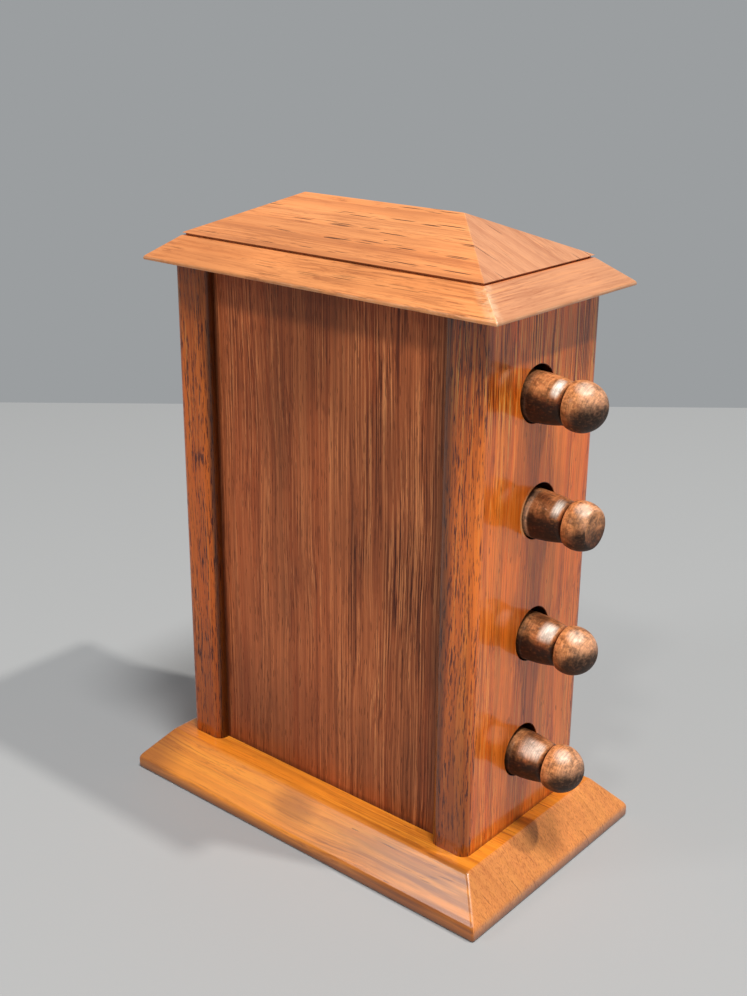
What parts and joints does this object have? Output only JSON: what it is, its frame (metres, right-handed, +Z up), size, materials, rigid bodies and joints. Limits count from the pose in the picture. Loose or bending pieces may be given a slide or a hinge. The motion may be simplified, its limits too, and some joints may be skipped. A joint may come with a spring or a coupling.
{
  "type": "wooden puzzle box",
  "caption": "Upright wooden puzzle box on a bevelled base: turned pegs in one end slide in to lock the hip-roofed lid and draw out to free it.",
  "frame": {"origin": "centre of the base board's underside", "axes": "+Z up, +X along the long side towards the pegs, +Y across the box"},
  "size_m": [0.1286, 0.0724, 0.1673],
  "materials": {
    "case_wood": "oiled and varnished orange-brown hardwood, upright grain",
    "panel_wood": "varnished dark reddish-brown hardwood, fine upright grain",
    "roof_wood": "varnished orange hardwood with short dark pores",
    "base_wood": "varnished golden-orange hardwood",
    "peg_wood": "turned, dark stained and glossy",
    "inner_wood": "bare planed hardwood",
    "brass": "plain turned brass",
    "steel": "plain zinc-plated"
  },
  "bodies": {
    "case": {"base_board": "base_wood", "base_screws": "steel", "peg_end_board": "case_wood", "rear_end_board": "case_wood", "front_panel": "panel_wood", "back_panel": "panel_wood", "guide_board": "inner_wood", "compartment_wall": "inner_wood"},
    "lid": {"cornice_board": "roof_wood", "roof_block": "roof_wood", "roof_dowels": "inner_wood", "lid_plug": "inner_wood", "slat_cleat": "inner_wood", "lock_slat": "inner_wood", "slat_screws": "brass"},
    "peg_1_body": {"peg_1": "peg_wood", "peg_1_collar": "inner_wood", "peg_1_pin": "brass"},
    "peg_2_body": {"peg_2": "peg_wood", "peg_2_collar": "inner_wood", "peg_2_pin": "brass"},
    "peg_3_body": {"peg_3": "peg_wood", "peg_3_collar": "inner_wood", "peg_3_pin": "brass"},
    "peg_4_body": {"peg_4": "peg_wood", "peg_4_collar": "inner_wood", "peg_4_pin": "brass"}
  },
  "joints": [
    {"name": "lid_lift", "type": "slide", "parent": "case", "child": "lid", "axis": [0, 0, 1], "range_m": [0, 0.13]},
    {"name": "peg_1_slide", "type": "slide", "parent": "case", "child": "peg_1_body", "axis": [1, 0, -0.0035], "range_m": [-0.0052, 0]},
    {"name": "peg_2_slide", "type": "slide", "parent": "case", "child": "peg_2_body", "axis": [1, 0, -0.0035], "range_m": [-0.0052, 0]},
    {"name": "peg_3_slide", "type": "slide", "parent": "case", "child": "peg_3_body", "axis": [1, 0, -0.0035], "range_m": [-0.0052, 0]},
    {"name": "peg_4_slide", "type": "slide", "parent": "case", "child": "peg_4_body", "axis": [1, 0, -0.0035], "range_m": [-0.0052, 0]}
  ]
}
